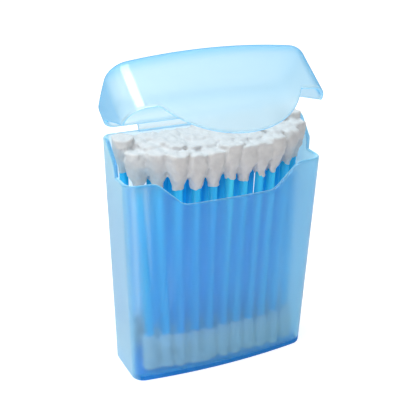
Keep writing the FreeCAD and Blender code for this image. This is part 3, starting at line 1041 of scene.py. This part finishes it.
@dataclass
class Swabs:
    """Every swab: a blue tube with a cotton tip wound on each end (mm)."""

    stem_names: list[str]
    stem_radius: float = 1.36
    tube_sides: int = 24
    foot_rise: float = 0.7
    tip_length: float = 12.0
    tip_segments: int = 32
    tip_rings: int = 42
    cap: float = 2.2
    squareness: float = 3.0
    end_slice: float = 0.05
    climb_across: tuple[float, ...] = (-30, 0, 18, 27)
    climb_height: tuple[float, ...] = (0, 0.9, 1.1, 2.6)
    stray_most: float = 0.6
    twist: float = 0.6
    lump_height: float = 2.0
    lump_spacing: float = 2.4
    fibre_height: float = 0.6
    fibre_spacing: float = 0.7
    roughness: float = 0.6
    gap_to_box: float = 0.15
    gap_to_lid: float = 0.3
    melt_cell: float = 0.36
    melt_rounds: int = 3
    seed: int = 11

    def axes(self) -> tuple[np.ndarray, np.ndarray]:
        """Both ends of every packed stem.

        Returns:
            Foot ends and top ends in metres.
        """
        feet, tops = [], []
        for name in self.stem_names:
            points = np.array([v.co for v in frame["nodes"][name].data.vertices])
            direction = points[points[:, 2].argmax()] - points[points[:, 2].argmin()]
            direction /= np.linalg.norm(direction)
            for _ in range(3):
                along = points @ direction
                low = points[along < along.min() + self.end_slice * MM].mean(0)
                high = points[along > along.max() - self.end_slice * MM].mean(0)
                direction = (high - low) / np.linalg.norm(high - low)
            feet.append(low)
            tops.append(high)
        return np.array(feet), np.array(tops)

    def stray(self, x: np.ndarray) -> np.ndarray:
        """How far each top tip stands above its even height.

        Args:
            x: Place of each tip across the box, in metres.

        Returns:
            Heights in metres: they climb to the right, and no two neighbours are alike.
        """
        climb = np.interp(x / MM, self.climb_across, self.climb_height)
        most = self.stray_most
        return (climb + np.random.default_rng(self.seed).uniform(-most, most, len(x))) * MM

    def seats(self, name: str, spots: np.ndarray, directions: np.ndarray) -> bpy.types.Object:
        """Loose points that carry a direction, for the nodes to grow on.

        Args:
            name: Name of the object.
            spots: Points in metres, one row each.
            directions: Unit vector at each point.

        Returns:
            The object, with the directions as its attribute "lean".
        """
        mesh = bpy.data.meshes.new(name)
        mesh.from_pydata([tuple(s) for s in spots], [], [])
        lean = mesh.attributes.new("lean", "FLOAT_VECTOR", "POINT")
        lean.data.foreach_set("vector", directions.astype(np.float32).ravel())
        item = bpy.data.objects.new(name, mesh)
        bpy.context.scene.collection.objects.link(item)
        return item

    def stems(self, feet: np.ndarray, tops: np.ndarray, lean: np.ndarray) -> bpy.types.Object:
        """All the tubes as one piece.

        Args:
            feet: Foot end of every stem, in metres.
            tops: Top end of every stem, in metres.
            lean: Unit vector up every stem.

        Returns:
            The piece.
        """
        length = float(np.linalg.norm(tops - feet, axis=1).mean())
        tree, given, output = self.new_tree("stem tubes")
        grown = self.planted(tree, given, self.tube(tree, given))
        self.dressed(tree, grown, StemPlastic().make(), output)
        inputs = {"Length": length, "Radius": self.stem_radius * MM, "Seed": self.seed}
        return grow("swab_stems", self.seats("stem_seats", feet, lean), tree, inputs)

    def tips(
        self, end: TipEnd, spots: np.ndarray, lean: np.ndarray, cotton: bpy.types.Material
    ) -> bpy.types.Object:
        """All the tips at one end as one piece.

        Args:
            end: Which end, with its sizes.
            spots: Where each tip starts, in metres.
            lean: Unit vector out along every tip.
            cotton: Finish of the tips.

        Returns:
            The piece, with the tips still apart.
        """
        tree, given, output = self.new_tree(f"{end.name} of wound cotton")
        grown = self.planted(tree, given, self.tip(tree, given, end.widths))
        self.dressed(tree, self.roughened(tree, given, grown), cotton, output)
        inputs = {
            "Length": self.tip_length * MM,
            "Radius": end.radius * MM,
            "Twist": self.twist,
            "Uneven": end.uneven,
            "Lumps": self.lump_height * MM,
            "Fibres": self.fibre_height * MM,
            "Seed": self.seed,
        }
        return grow(end.name, self.seats(f"{end.name}_seats", spots, lean), tree, inputs)

    def new_tree(self, name: str) -> tuple[bpy.types.NodeTree, bpy.types.Node, bpy.types.Node]:
        """An empty Geometry Nodes tree with its sizes as named inputs.

        Args:
            name: Name of the tree.

        Returns:
            The tree, the node of its inputs and its output node.
        """
        tree = bpy.data.node_groups.new(name, "GeometryNodeTree")
        face = tree.interface
        face.new_socket("Geometry", in_out="INPUT", socket_type="NodeSocketGeometry")
        for label in ("Length", "Radius", "Twist", "Uneven", "Lumps", "Fibres"):
            face.new_socket(label, in_out="INPUT", socket_type="NodeSocketFloat")
        face.new_socket("Seed", in_out="INPUT", socket_type="NodeSocketInt")
        face.new_socket("Geometry", in_out="OUTPUT", socket_type="NodeSocketGeometry")
        return tree, add_node(tree, "NodeGroupInput"), add_node(tree, "NodeGroupOutput")

    def tube(self, tree: bpy.types.NodeTree, given: bpy.types.Node) -> bpy.types.NodeSocket:
        """Grow a tube that stands on the origin.

        Args:
            tree: The tree to add to.
            given: The node of its inputs.

        Returns:
            The tube.
        """
        sizes = {"Radius": given.outputs["Radius"], "Depth": given.outputs["Length"]}
        tube = add_node(
            tree, "GeometryNodeMeshCylinder", {"Vertices": self.tube_sides, "Side Segments": 1, **sizes}
        )
        half = add_node(
            tree, "ShaderNodeMath", {0: given.outputs["Length"], 1: 0.5}, operation="MULTIPLY"
        )
        lift = add_node(tree, "ShaderNodeCombineXYZ", {2: half})
        raised = add_node(
            tree, "GeometryNodeTransform", {"Geometry": tube.outputs["Mesh"], "Translation": lift}
        )
        return raised.outputs[0]

    def tip(self, tree: bpy.types.NodeTree, given: bpy.types.Node, widths: tuple) -> bpy.types.NodeSocket:
        """Grow a tip: a ball whose rings are spread by one curve and widened by another.

        Args:
            tree: The tree to add to.
            given: The node of its inputs.
            widths: Width along the tip.

        Returns:
            The tip, standing on the origin.
        """
        ball = add_node(
            tree,
            "GeometryNodeMeshUVSphere",
            {"Segments": self.tip_segments, "Rings": self.tip_rings, "Radius": 1.0},
        )
        spot = add_node(tree, "GeometryNodeInputPosition")
        split = add_node(tree, "ShaderNodeSeparateXYZ", {0: spot})
        polar = add_node(tree, "ShaderNodeMath", {0: split.outputs["Z"]}, operation="ARCCOSINE")
        turn = add_node(tree, "ShaderNodeMath", {0: polar, 1: math.pi}, operation="DIVIDE")
        along = add_node(tree, "ShaderNodeMath", {0: 1.0, 1: turn}, operation="SUBTRACT")
        width = add_node(tree, "ShaderNodeFloatCurve", {"Value": along})
        height = add_node(tree, "ShaderNodeFloatCurve", {"Value": along})
        for node, points in ((width, widths), (height, TIP_HEIGHT)):
            curve = node.mapping.curves[0]
            curve.points[0].location, curve.points[1].location = points[0], points[-1]
            for x, y in points[1:-1]:
                curve.points.new(x, y)
            for point in curve.points:
                point.handle_type = "VECTOR"
            node.mapping.update()
        flat = add_node(tree, "ShaderNodeCombineXYZ", {0: split.outputs["X"], 1: split.outputs["Y"]})
        around = add_node(tree, "ShaderNodeVectorMath", {0: flat}, operation="NORMALIZE")
        reach = add_node(
            tree, "ShaderNodeMath", {0: width, 1: given.outputs["Radius"]}, operation="MULTIPLY"
        )
        spread = add_node(
            tree, "ShaderNodeMath", {0: reach, 1: self.squared(tree, around)}, operation="MULTIPLY"
        )
        ring = add_node(tree, "ShaderNodeVectorMath", {0: around, "Scale": spread}, operation="SCALE")
        rise = add_node(
            tree, "ShaderNodeMath", {0: height, 1: given.outputs["Length"]}, operation="MULTIPLY"
        )
        lift = add_node(tree, "ShaderNodeCombineXYZ", {2: rise})
        place = add_node(tree, "ShaderNodeVectorMath", {0: ring, 1: lift}, operation="ADD")
        shape = add_node(
            tree, "GeometryNodeSetPosition", {"Geometry": ball.outputs["Mesh"], "Position": place}
        )
        return shape.outputs[0]

    def squared(self, tree: bpy.types.NodeTree, around: bpy.types.Node) -> bpy.types.NodeSocket:
        """How far out a rounded square lies: neighbours press a tip from four sides.

        Args:
            tree: The tree to add to.
            around: Unit vector out from the middle of the tip.

        Returns:
            Distance from the middle, 1 at the middle of each side.
        """
        sides = add_node(tree, "ShaderNodeSeparateXYZ", {0: around})
        powers = []
        for axis in "XY":
            size = add_node(tree, "ShaderNodeMath", {0: sides.outputs[axis]}, operation="ABSOLUTE")
            powers.append(
                add_node(tree, "ShaderNodeMath", {0: size, 1: self.squareness}, operation="POWER")
            )
        both = add_node(tree, "ShaderNodeMath", {0: powers[0], 1: powers[1]}, operation="ADD")
        # The sum is 0.7 or more all round, and nothing at the poles, where there is no direction.
        least = add_node(tree, "ShaderNodeMath", {0: both, 1: 0.5}, operation="MAXIMUM")
        square = add_node(
            tree, "ShaderNodeMath", {0: least, 1: -1 / self.squareness}, operation="POWER"
        )
        return square.outputs[0]

    def planted(
        self, tree: bpy.types.NodeTree, given: bpy.types.Node, grown: bpy.types.NodeSocket
    ) -> bpy.types.NodeSocket:
        """Put the shape on every seat, leaning as the seat says, each a little different.

        Args:
            tree: The tree to add to.
            given: The node of its inputs.
            grown: The shape.

        Returns:
            All the shapes as one mesh.
        """
        lean = add_node(
            tree, "GeometryNodeInputNamedAttribute", {"Name": "lean"}, data_type="FLOAT_VECTOR"
        )
        aim = add_node(
            tree, "FunctionNodeAlignRotationToVector", {"Vector": lean.outputs["Attribute"]}, axis="Z"
        )
        twist = add_node(
            tree,
            "FunctionNodeRandomValue",
            {2: 0.0, 3: given.outputs["Twist"], "Seed": given.outputs["Seed"]},
            data_type="FLOAT",
        )
        most = add_node(tree, "ShaderNodeMath", {0: 1.0, 1: given.outputs["Uneven"]}, operation="ADD")
        size = add_node(
            tree,
            "FunctionNodeRandomValue",
            {2: 1.0, 3: most, "Seed": given.outputs["Seed"]},
            data_type="FLOAT",
        )
        girth = add_node(tree, "ShaderNodeCombineXYZ", {0: size.outputs[1], 1: size.outputs[1], 2: 1.0})
        spin = add_node(tree, "ShaderNodeCombineXYZ", {2: twist.outputs[1]})
        turned = add_node(
            tree,
            "FunctionNodeRotateRotation",
            {"Rotation": aim, "Rotate By": spin},
            rotation_space="LOCAL",
        )
        stuck = add_node(
            tree,
            "GeometryNodeInstanceOnPoints",
            {"Points": given.outputs["Geometry"], "Instance": grown, "Rotation": turned, "Scale": girth},
        )
        real = add_node(tree, "GeometryNodeRealizeInstances", {"Geometry": stuck})
        return real.outputs[0]

    def roughened(
        self, tree: bpy.types.NodeTree, given: bpy.types.Node, grown: bpy.types.NodeSocket
    ) -> bpy.types.NodeSocket:
        """Push the skin in and out: soft lumps first, then the wound fibres.

        Args:
            tree: The tree to add to.
            given: The node of its inputs.
            grown: The smooth tips.

        Returns:
            The rough tips.
        """
        normal = add_node(tree, "GeometryNodeInputNormal")
        for label, spacing, detail in (
            ("Lumps", self.lump_spacing, 1.0), ("Fibres", self.fibre_spacing, 3.0)
        ):
            bumps = add_node(
                tree,
                "ShaderNodeTexNoise",
                {"Scale": 1 / (spacing * MM), "Detail": detail, "Roughness": self.roughness},
            )
            centred = add_node(
                tree, "ShaderNodeMath", {0: bumps.outputs["Fac"], 1: 0.5}, operation="SUBTRACT"
            )
            amount = add_node(
                tree, "ShaderNodeMath", {0: centred, 1: given.outputs[label]}, operation="MULTIPLY"
            )
            push = add_node(
                tree, "ShaderNodeVectorMath", {0: normal, "Scale": amount}, operation="SCALE"
            )
            moved = add_node(tree, "GeometryNodeSetPosition", {"Geometry": grown, "Offset": push})
            grown = moved.outputs[0]
        return grown

    def dressed(
        self,
        tree: bpy.types.NodeTree,
        grown: bpy.types.NodeSocket,
        material: bpy.types.Material,
        output: bpy.types.Node,
    ) -> None:
        """Give what grew its finish and end the tree with it.

        Args:
            tree: The tree to add to.
            grown: What grew.
            material: The finish.
            output: The tree's output node.
        """
        finish = add_node(tree, "GeometryNodeSetMaterial", {"Geometry": grown, "Material": material})
        smooth = add_node(
            tree, "GeometryNodeSetShadeSmooth", {"Geometry": finish, "Shade Smooth": True}
        )
        tree.links.new(smooth.outputs[0], output.inputs[0])


def grow(name: str, seats: bpy.types.Object, tree: bpy.types.NodeTree, inputs: dict) -> bpy.types.Object:
    """Run a tree on its points and keep the result as a plain mesh.

    Args:
        name: Name of the new piece.
        seats: The points, which are used up.
        tree: The tree.
        inputs: Input name to value.

    Returns:
        The new piece.
    """
    modifier = seats.modifiers.new("grow", "NODES")
    modifier.node_group = tree
    for item in tree.interface.items_tree:
        if item.item_type == "SOCKET" and item.in_out == "INPUT" and item.name in inputs:
            modifier[item.identifier] = inputs[item.name]
    seats.update_tag()
    graph = bpy.context.evaluated_depsgraph_get()
    graph.update()
    mesh = bpy.data.meshes.new_from_object(seats.evaluated_get(graph))
    mesh.name = name
    # The first slot is the points' own and holds nothing.
    mesh.materials.pop(index=0)
    piece = bpy.data.objects.new(name, mesh)
    bpy.context.scene.collection.objects.link(piece)
    bpy.data.objects.remove(seats)
    return piece


def melt(piece: bpy.types.Object, cell: float, rounds: int) -> None:
    """Run the touching parts of a piece together into one soft mass.

    Args:
        piece: The piece, with one material.
        cell: Size of the grid that joins the parts, in mm.
        rounds: How often the result is smoothed.
    """
    join = piece.modifiers.new("join", "REMESH")
    join.mode, join.voxel_size, join.use_smooth_shade = "VOXEL", cell * MM, True
    soften = piece.modifiers.new("soften", "SMOOTH")
    soften.factor, soften.iterations = 0.5, rounds
    material = piece.data.materials[0]
    graph = bpy.context.evaluated_depsgraph_get()
    graph.update()
    mesh = bpy.data.meshes.new_from_object(piece.evaluated_get(graph))
    piece.modifiers.clear()
    mesh.materials.clear()
    mesh.materials.append(material)
    mesh.shade_smooth()
    piece.data = mesh


@dataclass(frozen=True)
class Lamp:
    """A square lamp aimed at the middle of the box (mm, watts)."""

    name: str
    spot: tuple[float, float, float]
    size: float
    power: float
    target: tuple[float, float, float] = (0.0, 0.0, 50.0)

    def make(self) -> None:
        """Add the lamp to the scene."""
        data = bpy.data.lights.new(self.name, "AREA")
        data.size = self.size * MM
        data.energy = self.power
        item = bpy.data.objects.new(self.name, data)
        item.location = Vector(self.spot) * MM
        aim = (Vector(self.target) - Vector(self.spot)).to_track_quat("-Z", "Y")
        item.rotation_mode = "QUATERNION"
        item.rotation_quaternion = aim
        bpy.context.scene.collection.objects.link(item)


@dataclass
class Studio:
    """White room: camera, floor, surroundings and lamps (mm).

    Floor and surroundings look white to the camera and through the plastic, and give only a
    plain soft light to everything else.
    """

    camera_spot: tuple[float, float, float] = (-117.83, -234.02, 169.23)
    target: tuple[float, float, float] = (0.0, -0.04, 44.46)
    roll: float = 0.028
    lens: float = 78.05
    sensor: float = 36.0
    shift: tuple[float, float] = (-4.6 / 420, 21.2 / 420)
    nearest: float = 10.0
    floor_span: float = 3000.0
    floor_seen: float = 0.82
    floor_through: float = 0.72
    floor_matt: float = 0.36
    floor_bounce: float = 0.8
    world_seen: float = 1.0
    world_through: float = 0.84
    world_fill: float = 0.43
    lamps: tuple[Lamp, ...] = (
        Lamp("top_lamp", (-150, 50, 700), 350, 4.8),
        Lamp("side_lamp", (-500, -350, 350), 250, 1.0),
        Lamp("glint_lamp", (260, -480, 220), 60, 0.1),
    )

    def camera(self) -> None:
        """Make the camera and make it the scene's."""
        data = bpy.data.cameras.new("camera")
        data.sensor_width = self.sensor
        data.lens = self.lens
        data.shift_x, data.shift_y = self.shift
        data.clip_start = self.nearest * MM
        item = bpy.data.objects.new("camera", data)
        spot, target = Vector(self.camera_spot) * MM, Vector(self.target) * MM
        look = (target - spot).to_track_quat("-Z", "Y")
        item.rotation_mode = "QUATERNION"
        item.rotation_quaternion = look @ Quaternion((0, 0, 1), self.roll)
        item.location = spot
        bpy.context.scene.collection.objects.link(item)
        bpy.context.scene.camera = item

    def floor(self) -> None:
        """White floor that keeps a soft shadow of the box."""
        material, tree, output = new_material("white studio floor")
        path = add_node(tree, "ShaderNodeLightPath")
        seen = add_node(
            tree,
            "ShaderNodeMath",
            {0: path.outputs["Is Camera Ray"], 1: path.outputs["Is Transmission Ray"]},
            operation="MAXIMUM",
        )
        glow = add_node(
            tree,
            "ShaderNodeMapRange",
            {
                "Value": path.outputs["Is Camera Ray"],
                "To Min": self.floor_through,
                "To Max": self.floor_seen,
            },
        )
        light = add_node(tree, "ShaderNodeEmission", {"Color": (1, 1, 1, 1), "Strength": glow})
        matt = add_node(tree, "ShaderNodeBsdfDiffuse", {"Color": (*[self.floor_matt] * 3, 1)})
        both = add_node(tree, "ShaderNodeAddShader", {0: light, 1: matt})
        plain = add_node(tree, "ShaderNodeBsdfDiffuse", {"Color": (*[self.floor_bounce] * 3, 1)})
        mix = add_node(tree, "ShaderNodeMixShader", {0: seen, 1: plain, 2: both})
        tree.links.new(mix.outputs[0], output.inputs["Surface"])
        span = self.floor_span * MM
        corners = np.array([(-span, -span, 0), (span, -span, 0), (span, span, 0), (-span, span, 0)])
        mesh_object("studio_floor", corners, [(0, 1, 2, 3)], material)

    def world(self) -> None:
        """White surroundings to the eye, a little dimmer through plastic, and a fill light."""
        world = bpy.data.worlds.new("studio")
        bpy.context.scene.world = world
        world.use_nodes = True
        tree = world.node_tree
        tree.nodes.clear()
        output = add_node(tree, "ShaderNodeOutputWorld")
        path = add_node(tree, "ShaderNodeLightPath")
        dimmed = add_node(
            tree,
            "ShaderNodeMath",
            {0: path.outputs["Is Transmission Ray"], 1: self.world_through},
            operation="MULTIPLY",
        )
        seen = add_node(
            tree, "ShaderNodeMath", {0: path.outputs["Is Camera Ray"], 1: dimmed}, operation="MAXIMUM"
        )
        strength = add_node(
            tree,
            "ShaderNodeMapRange",
            {"Value": seen, "To Min": self.world_fill, "To Max": self.world_seen},
        )
        light = add_node(tree, "ShaderNodeBackground", {"Color": (1, 1, 1, 1), "Strength": strength})
        tree.links.new(light.outputs[0], output.inputs["Surface"])

    def build(self) -> None:
        """Set up the whole studio."""
        bpy.context.scene.view_settings.view_transform = "Standard"
        self.camera()
        self.floor()
        self.world()
        for lamp in self.lamps:
            lamp.make()


def build_box_and_lid() -> tuple[Box, Lid]:
    """Build the box, the open lid and the hinge between them.

    Returns:
        The box and the lid, for their sizes.
    """
    joint = frame["joints"][0]
    # The box's plastic takes the painted deep blue band of floor shade near the ground.
    clear_box = Polypropylene("moulded blue polypropylene", deep_share=1.0).make()
    # The lid is milkier, holds less dye for its thickness and is bluest where it turns over.
    clear_lid = Polypropylene(
        "moulded blue polypropylene lid",
        milk="D6F0F8",
        milk_edge="48BCF2",
        milk_face=0.42,
        slant_full=0.95,
        density=34.0,
        blur=0.15,
    ).make()
    box = Box()
    shell = box.build(clear_box)
    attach(shell, Body.CASE.value)
    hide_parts("container")
    lid = Lid(Vector(joint["pos_m"]), math.radians(-joint["range_deg"][0]))
    cover = lid.build(clear_lid)
    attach(cover, Body.LID.value)
    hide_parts("lid")
    web = LivingHinge(lid, box).build(clear_lid)
    return box, lid


def build_swabs(box: Box, lid: Lid) -> None:
    """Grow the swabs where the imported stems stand, and settle their tips in the box.

    Args:
        box: The box they stand in.
        lid: The lid that has to shut over them.
    """
    swabs = Swabs(sorted(n for n in frame["nodes"] if n.startswith("stick_")))
    feet, tops = swabs.axes()
    lean = (tops - feet) / np.linalg.norm(tops - feet, axis=1)[:, None]
    stems = swabs.stems(feet, tops, lean)
    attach(stems, Body.CASE.value)
    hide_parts(*swabs.stem_names)
    cotton = Cotton().make()
    reach = (swabs.tip_length - swabs.cap) * MM
    tops = tops + lean * swabs.stray(tops[:, 0])[:, None]
    for end, spots, direction in (
        (TOPS, tops - lean * reach, lean), (FEET, feet + lean * (reach + swabs.foot_rise * MM), -lean)
    ):
        piece = swabs.tips(end, spots, direction, cotton)
        box.hold(piece.data, box.rim, swabs.gap_to_box)
        box.hold(piece.data, replace(lid.plan, back=box.rim.back), swabs.gap_to_lid)
        melt(piece, swabs.melt_cell, swabs.melt_rounds)
        LOG.info("%s has %d faces", end.name, len(piece.data.polygons))
        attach(piece, Body.CASE.value)
        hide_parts(*(n for n in frame["nodes"] if n.startswith(f"{end.name}_row_")))


def main() -> None:
    """Build every piece and the studio, and log the faces of each cotton piece."""
    logging.basicConfig(level=logging.INFO, format="%(name)s: %(message)s")
    box, lid = build_box_and_lid()
    build_swabs(box, lid)
    Studio().build()


if __name__ == "__main__":
    main()
